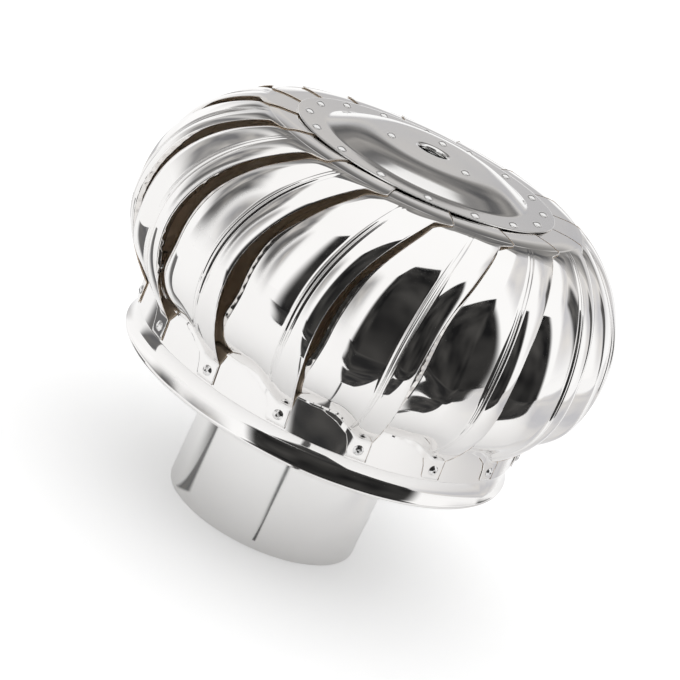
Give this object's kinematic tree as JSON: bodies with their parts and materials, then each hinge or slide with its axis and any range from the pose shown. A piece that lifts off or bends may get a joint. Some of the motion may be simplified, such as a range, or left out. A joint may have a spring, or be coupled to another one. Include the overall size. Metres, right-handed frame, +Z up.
{
  "type": "roof turbine ventilator",
  "caption": "Wind-driven roof turbine ventilator: an onion-shaped rotor of overlapping twisted sheet vanes turning on a spindle above a plain round neck pipe.",
  "frame": {"origin": "on the rotor's axis, at the open lower end of the neck pipe", "axes": "+Z up along the rotor's axis, from the neck pipe to the domed disc; +X through the top rivet of vane_01"},
  "size_m": [0.2686, 0.2686, 0.225],
  "materials": {
    "mirror_steel": "mirror-polished stainless sheet",
    "dull_steel": "mirror stainless sheet, slightly dulled on its flat rim",
    "pipe_steel": "polished stainless sheet, rolled",
    "sheet_steel": "plain mill-finish stainless sheet",
    "zinc_steel": "bright zinc plating",
    "turned_steel": "turned and ground steel",
    "rivet_metal": "bright formed rivet metal",
    "cast_alloy": "turned light alloy",
    "spring_steel": "dark oiled spring steel"
  },
  "bodies": {
    "base": {"neck_pipe": "pipe_steel", "base_pan": "sheet_steel", "cross_bar": "zinc_steel", "collar_rivets": "rivet_metal", "spindle": "turned_steel", "spindle_washer": "zinc_steel", "spindle_nut": "zinc_steel", "bearing_spacer": "turned_steel", "end_washer": "zinc_steel", "end_nut": "zinc_steel", "lower_bearing_inner_ring": "turned_steel", "upper_bearing_inner_ring": "turned_steel"},
    "rotor": {"lower_bearing_outer_ring": "turned_steel", "lower_bearing_shields": "turned_steel", "upper_bearing_outer_ring": "turned_steel", "upper_bearing_shields": "turned_steel", "hub_housing": "cast_alloy", "hub_circlip": "spring_steel", "hub_rivets": "rivet_metal", "top_disc": "dull_steel", "top_rivets": "rivet_metal", "bottom_ring": "mirror_steel", "foot_rivets": "rivet_metal", "vane_01": "mirror_steel", "vane_02": "mirror_steel", "vane_03": "mirror_steel", "vane_04": "mirror_steel", "vane_05": "mirror_steel", "vane_06": "mirror_steel", "vane_07": "mirror_steel", "vane_08": "mirror_steel", "vane_09": "mirror_steel", "vane_10": "mirror_steel", "vane_11": "mirror_steel", "vane_12": "mirror_steel", "vane_13": "mirror_steel", "vane_14": "mirror_steel", "vane_15": "mirror_steel", "vane_16": "mirror_steel"}
  },
  "joints": [
    {"name": "rotor_spin", "type": "hinge", "parent": "base", "child": "rotor", "pos_m": [0, 0, 0.19], "axis": [0, 0, 1], "continuous": true}
  ]
}
